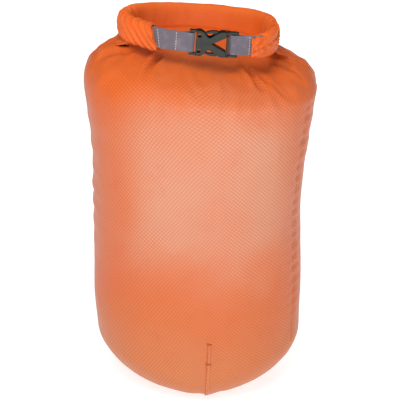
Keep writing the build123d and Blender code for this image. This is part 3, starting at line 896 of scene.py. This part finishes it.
def smooth_path(path, count):
    """The same path with evenly spaced points."""
    lengths = [0.0]
    for a, b in zip(path, path[1:]):
        lengths.append(lengths[-1] + (b - a).length)
    spots, position = [], 0
    for step in range(count + 1):
        target = lengths[-1] * step / count
        while position < len(path) - 2 and lengths[position + 1] < target:
            position += 1
        part = (target - lengths[position]) / max(1e-9, lengths[position + 1] - lengths[position])
        spots.append(path[position].lerp(path[position + 1], part))
    return spots, lengths[-1]


def web_strip(name, path):
    """Webbing on edge that follows a path in the ring's plane, with a soft rounded edge."""
    spots, long = smooth_path(path, WEB_COLUMNS)

    def place(u, v):
        spot = spots[round(u * WEB_COLUMNS)]
        across = (v - 0.5) * WEB_WIDE
        sag = 0.00035 * math.sin(u * 9) * (v - 0.5)
        return RING @ Vector((spot.x, spot.y + sag, across))

    def flat(u, v):
        return v * WEB_WIDE, u * long

    piece = grid_piece(name, WEB_COLUMNS, WEB_ROWS, place, flat, WEBBING, close=False)
    thicken(piece, WEB_THICK)
    edges = piece.modifiers.new("edges", "BEVEL")
    edges.width = 0.0004
    edges.segments = 3
    edges.limit_method = "ANGLE"
    return apply_modifiers(piece)


left_web = web_strip("left_tab_webbing", loop_path(SOCKET_BAR_X, True, LEFT_END))
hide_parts("left_tab")
right_web = web_strip("right_tab_webbing", loop_path(PLUG_BAR_X, False, RIGHT_END, -PLUG_NOSE))
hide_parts("right_tab")


def stitches(name, places, material_used, thick=THREAD):
    """Short threads that lie on a surface. Each place is (middle, along, outward, length)."""
    bm = bmesh.new()
    for middle, along, outward, length in places:
        made = bmesh.ops.create_uvsphere(bm, u_segments=8, v_segments=6, radius=1.0)
        across = along.cross(outward).normalized()
        turn = Matrix((across, outward.normalized(), along.normalized())).transposed().to_4x4()
        scale = Matrix.Diagonal((thick, thick * 0.8, length / 2, 1))
        bmesh.ops.transform(bm, matrix=Matrix.Translation(middle) @ turn @ scale, verts=made["verts"])
    return finished(name, bm, material_used)


def tab_row(along, slant=0.0):
    """A row of stitches up the outer face of a tab, which leans back by the slant for each unit of height."""
    up = (RING_TURN @ Vector((0, 0, 1))).normalized()
    rows = []
    for number in range(STITCH_COUNT):
        height = (number - (STITCH_COUNT - 1) / 2) * STITCH_PITCH
        spot, heading = ring_point(along - slant * height)
        away = Vector((heading.y, -heading.x))
        spot = spot + away * (WEB_SPREAD + WEB_THICK / 2 + THREAD * 0.15)
        outward = (RING_TURN @ Vector((away.x, away.y, 0))).normalized()
        rows.append((RING @ Vector((spot.x, spot.y, height)), up, outward, STITCH_LONG))
    return rows


left_rows = tab_row(LEFT_END + 0.0032, 0.18) + tab_row(LEFT_END + 0.0205)
left_stitches = stitches("left_tab_thread", left_rows, WEB_THREAD)
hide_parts("left_tab_stitches")
right_rows = tab_row(-RIGHT_END - 0.0014)
right_stitches = stitches("right_tab_thread", right_rows, WEB_THREAD)
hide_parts("right_tab_stitches")


# ---- the sewn and taped seams ----
def surface_tree(piece):
    """A search tree of a piece's faces."""
    bm = bmesh.new()
    bm.from_mesh(piece.data)
    tree = BVHTree.FromBMesh(bm)
    bm.free()
    return tree


BODY_TREE = surface_tree(body_cloth)


def on_body(spot, centre):
    """The point of the body's cloth seen from a centre, and the cloth's outward direction there."""
    toward = (spot - centre).normalized()
    hit = BODY_TREE.ray_cast(centre + toward * 0.3, -toward)
    if hit[0] is None:
        return spot, toward
    normal = hit[1]
    return hit[0], normal if normal.dot(toward) > 0 else -normal


def side_seam_line(share):
    """A point outside the body on the side seam's course, and the point inside it to look from."""
    height = mix(SIDE_SEAM_LOW, SIDE_SEAM_HIGH, share)
    spot = section_point(station(min(height, SHOULDER)), angle_at(SEAM_U))
    return Vector((spot.x, spot.y, height)), Vector((0, 0, height * 0.85 + 0.02))


def base_seam_line(share, front):
    """The same for the base seam, from the base's middle to its end on the front (-1) or the rear (1)."""
    turn = mix(0.0, BASE_SEAM_TURN, share)
    x = BASE_SEAM_X - BASE_SEAM_SKEW * (1 - share) if front < 0 else BASE_SEAM_X
    back, up = BASE_SEAM_CENTRE
    centre = Vector((x, front * back, up))
    spot = centre + Vector((0, front * math.sin(turn) * SEAM_REACH, -math.cos(turn) * SEAM_REACH))
    return spot, centre


def ridge(name, line, rows, width, rise, material_used, long):
    """A felled seam on the body: a strip with a rounded back, or a film inside it if the rise is negative."""
    spots = []
    for row in range(rows + 1):
        spot, centre = line(row / rows)
        spots.append(on_body(spot, centre))

    def place(u, v):
        row = round(v * rows)
        middle, normal = spots[row]
        before, after = spots[max(0, row - 1)][0], spots[min(rows, row + 1)][0]
        along = (after - before).normalized()
        across = along.cross(normal).normalized()
        aside = (u - 0.5) * width
        target = middle + across * aside
        hit = BODY_TREE.find_nearest(target)[0] or target
        if rise < 0:
            return hit + normal * rise
        back = 1 - (2 * u - 1) ** 6
        valley = 0.35 * bell(u - 0.5, 0.08)
        ends = smooth(v, 0, 0.03) * (1 - smooth(v, 0.97, 1))
        return hit + normal * (rise * (back - valley) * ends - FELL_SINK)

    def flat(u, v):
        return u * width, v * long

    return grid_piece(name, FELL_CELLS, rows, place, flat, material_used, close=False)


def thread_run(line, count, offsets, rise, length, low=THREAD_MARGIN):
    """Rows of stitches along a seam, one at each offset across it."""
    rows = []
    for number in range(count):
        share = mix(low, 1 - THREAD_MARGIN, number / (count - 1))
        spot, centre = line(share)
        after, after_centre = line(min(1, share + 0.01))
        middle, normal = on_body(spot, centre)
        ahead = (on_body(after, after_centre)[0] - middle).normalized()
        across = ahead.cross(normal).normalized()
        for aside in offsets:
            rows.append((middle + across * aside + normal * rise, ahead, normal, length))
    return rows


def front_line(share):
    return base_seam_line(share, -1)


def rear_line(share):
    return base_seam_line(share, 1)


side_seam = ridge(
    "side_seam_fell", side_seam_line, 150, SIDE_FELL, SIDE_FELL_RISE, SIDE_SEAM, SIDE_SEAM_LONG
)
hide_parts("side_seam")
front_seam = ridge(
    "front_base_seam_fell", front_line, 70, BASE_FELL, BASE_FELL_RISE, BASE_SEAM, BASE_SEAM_LONG
)
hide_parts("front_base_seam")
rear_seam = ridge("rear_base_seam_fell", rear_line, 70, BASE_FELL, BASE_FELL_RISE, BASE_SEAM, BASE_SEAM_LONG)
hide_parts("rear_base_seam")

side_rows = thread_run(side_seam_line, 92, (-0.0022, 0.0022), 0.0006, 0.0024)
side_threads = stitches("side_seam_thread", side_rows, SEAM_THREAD, 0.00022)
base_rows = []
for line in (front_line, rear_line):
    base_rows += thread_run(line, 30, (-0.0014,), 0.0011, 0.0026, 0.06)
base_threads = stitches("base_seam_thread", base_rows, BASE_THREAD, THREAD)


TACKS = ((0.74, 9), (0.97, 7))  # (share of the way along the base seam, number of threads)
TACK_PITCH, TACK_RISE, TACK_LONG, TACK_THREAD = 0.0007, 0.0012, 0.0018, 0.00035


def tack_places():
    """Bar tacks across the base seam, at its ends and partway up: upright threads side by side."""
    rows = []
    up = Vector((0, 0, 1))
    for line in (front_line, rear_line):
        for share, count in TACKS:
            middle, normal = on_body(*line(share))
            across = up.cross(normal).normalized()
            for number in range(count):
                aside = (number - (count - 1) / 2) * TACK_PITCH
                rows.append((middle + across * aside + normal * TACK_RISE, up, normal, TACK_LONG))
    return rows


tacks = stitches("base_seam_tacks", tack_places(), BASE_THREAD, TACK_THREAD)
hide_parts("base_tacks")

side_film = ridge("side_seam_film", side_seam_line, 120, FILM_WIDE, -FILM_INSET, TAPE, SIDE_SEAM_LONG)
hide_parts("side_seam_tape")
base_film = ridge("base_seam_film", front_line, 60, FILM_WIDE, -FILM_INSET, TAPE, BASE_SEAM_LONG)
rear_film = ridge("rear_seam_film", rear_line, 60, FILM_WIDE, -FILM_INSET, TAPE, BASE_SEAM_LONG)
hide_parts("base_seam_tape")
for film in (side_film, base_film, rear_film):
    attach(film, "bag")


# ---- the strip along the mouth, and the buckle ----
def lip_tip():
    """The end of the strip along the mouth, squeezed low with the right arm of the roll."""
    bm = bmesh.new()
    bmesh.ops.create_grid(bm, x_segments=30, y_segments=2, size=0.5)
    for vert in bm.verts:
        along = mix(-RIGHT_END + 0.003, -RIGHT_SPLIT - 0.001, vert.co.x + 0.5)
        vert.co = ring_place(along, -LIP_INSET, vert.co.y * LIP_TALL - LIP_DROP)
    return apply_modifiers(thicken(finished("lip_webbing_end", bm, LIP_WEBBING), LIP_THICK))


lip_end = lip_tip()
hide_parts("lip_webbing_tip")
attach(lip_end, "right_end")
for nodes, finish in (
    (("lip_webbing_rear", "lip_webbing_left", "lip_webbing_right"), LIP_WEBBING),
    (("buckle_socket", "buckle_plug", "upper_prong", "lower_prong"), BUCKLE),
):
    for node in nodes:
        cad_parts[node].data.materials.clear()
        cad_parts[node].data.materials.append(finish)

# ---- what moves with what ----
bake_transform(body_cloth)
SPLIT = ring_place(-RIGHT_SPLIT, 0, 0)
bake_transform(rolled_mouth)
for piece in (side_seam, front_seam, rear_seam, side_threads, base_threads, tacks):
    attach(piece, "bag")
for piece in (left_web, left_stitches):
    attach(piece, "roll")
for piece in (right_web, right_stitches):
    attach(piece, "right_end")


# ---- studio ----
FLOOR_HALF = 30.0
FLOOR_TONES = (0.40, 0.40, 0.40, 1), (0.43, 0.43, 0.43, 1)
FLOOR_GLOW, SKY_GLOW = 0.76, 0.48
LAMP_SIZE = 0.8
LAMP_TARGET = (0, 0, 0.2)


def studio():
    """A pale glowing floor, an even sky and three soft lamps."""
    made, tree, shader = material("paper_floor", Roughness=0.9)
    grain = noise_value(tree, 300, 3.0)
    plug(tree, shader.inputs["Base Color"], blend_colors(tree, grain, *FLOOR_TONES))
    shader.inputs["Emission Color"].default_value = (1, 1, 1, 1)
    shader.inputs["Emission Strength"].default_value = FLOOR_GLOW
    bm = bmesh.new()
    bmesh.ops.create_grid(bm, x_segments=1, y_segments=1, size=FLOOR_HALF)
    floor = finished("paper_floor", bm, made)
    world = bpy.data.worlds.new("studio")
    bpy.context.scene.world = world
    world.use_nodes = True
    back = world.node_tree.nodes["Background"]
    back.inputs["Color"].default_value = (1, 1, 1, 1)
    back.inputs["Strength"].default_value = SKY_GLOW
    world.cycles_visibility.glossy = False
    lamp("front_softbox", (0.12, -1.45, 0.22), 10)
    lamp("top_softbox", (-0.25, -0.60, 1.40), 13).visible_glossy = False
    lamp("rear_softbox", (0.40, 1.30, 0.80), 9).visible_glossy = False


def lamp(name, spot, power):
    light = bpy.data.lights.new(name, "AREA")
    light.size = LAMP_SIZE
    light.energy = power
    piece = bpy.data.objects.new(name, light)
    bpy.context.scene.collection.objects.link(piece)
    piece.location = spot
    piece.rotation_euler = (Vector(LAMP_TARGET) - Vector(spot)).to_track_quat("-Z", "Y").to_euler()
    return piece


CAMERA_TARGET = Vector((0.0, 0.0, 0.188))
CAMERA_DISTANCE = 1.5
CAMERA_RISE = math.radians(25)
CAMERA_LENS, CAMERA_SENSOR = 132, 36


def camera():
    lens = bpy.data.cameras.new("camera")
    lens.lens = CAMERA_LENS
    lens.sensor_width = CAMERA_SENSOR
    piece = bpy.data.objects.new("camera", lens)
    bpy.context.scene.collection.objects.link(piece)
    away = Vector((0, -math.cos(CAMERA_RISE), math.sin(CAMERA_RISE)))
    piece.location = CAMERA_TARGET + away * CAMERA_DISTANCE
    piece.rotation_euler = (-away).to_track_quat("-Z", "Y").to_euler()
    bpy.context.scene.camera = piece


studio()
camera()
bpy.context.scene.view_settings.view_transform = "Standard"
